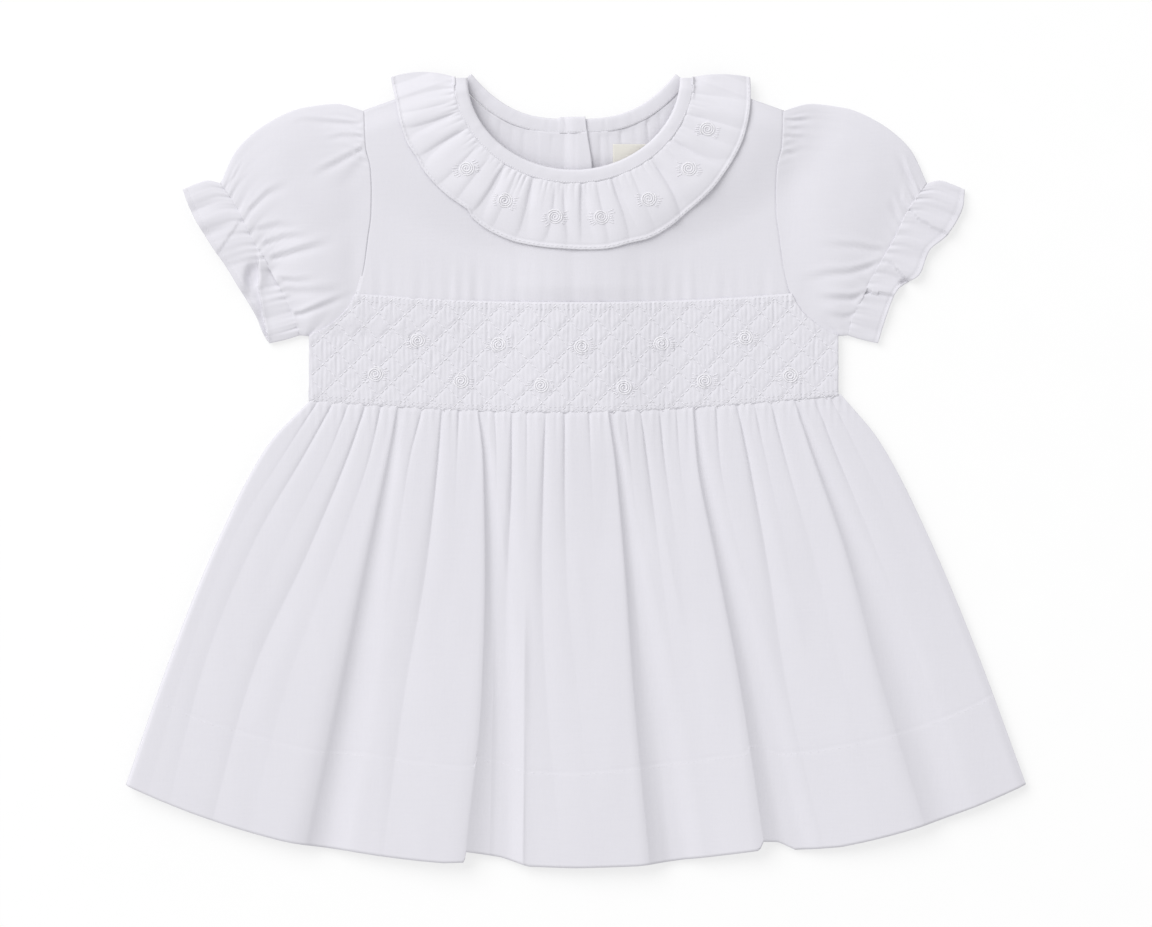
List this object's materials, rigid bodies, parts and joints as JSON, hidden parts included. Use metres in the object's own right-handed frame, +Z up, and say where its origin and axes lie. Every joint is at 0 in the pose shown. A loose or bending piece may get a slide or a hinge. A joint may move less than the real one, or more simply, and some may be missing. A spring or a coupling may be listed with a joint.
{
  "type": "toddler dress",
  "caption": "Short-sleeved toddler dress with a frilled round neck, smocked chest band, puffed sleeves and gathered skirt, laid flat on its back.",
  "frame": {"origin": "on the surface that the dress lies on, under the middle of its outline", "axes": "+X across the dress to the right side as seen from the front, +Y from the hem to the neck, +Z up off the surface, out of the dress's front"},
  "size_m": [0.476, 0.4201, 0.0115],
  "materials": {
    "white_cotton": "plain-woven white cotton lawn, matt, slightly cool",
    "smocked_cotton": "white cotton drawn into fine pleats by white smocking thread, matt",
    "cotton_trim": "white cotton bias strip, pressed smooth",
    "embroidery_thread": "white stranded cotton, soft sheen",
    "cream_label": "bare cream woven label",
    "button_shell": "white pearly button, polished"
  },
  "bodies": {
    "root": {"bodice_front_yoke": "white_cotton", "smocked_band": "smocked_cotton", "bodice_back_left": "white_cotton", "bodice_back_right": "white_cotton", "neck_binding_front": "cotton_trim", "neck_binding_back_left": "cotton_trim", "neck_binding_back_right": "cotton_trim", "collar_frill_front": "white_cotton", "collar_frill_back_left": "white_cotton", "collar_frill_back_right": "white_cotton", "neck_label": "cream_label", "back_button_1": "button_shell", "back_button_2": "button_shell", "back_button_3": "button_shell", "skirt_front": "white_cotton", "skirt_back": "white_cotton", "sleeve_left": "white_cotton", "sleeve_right": "white_cotton", "sleeve_frill_left": "white_cotton", "sleeve_frill_right": "white_cotton"}
  },
  "joints": []
}
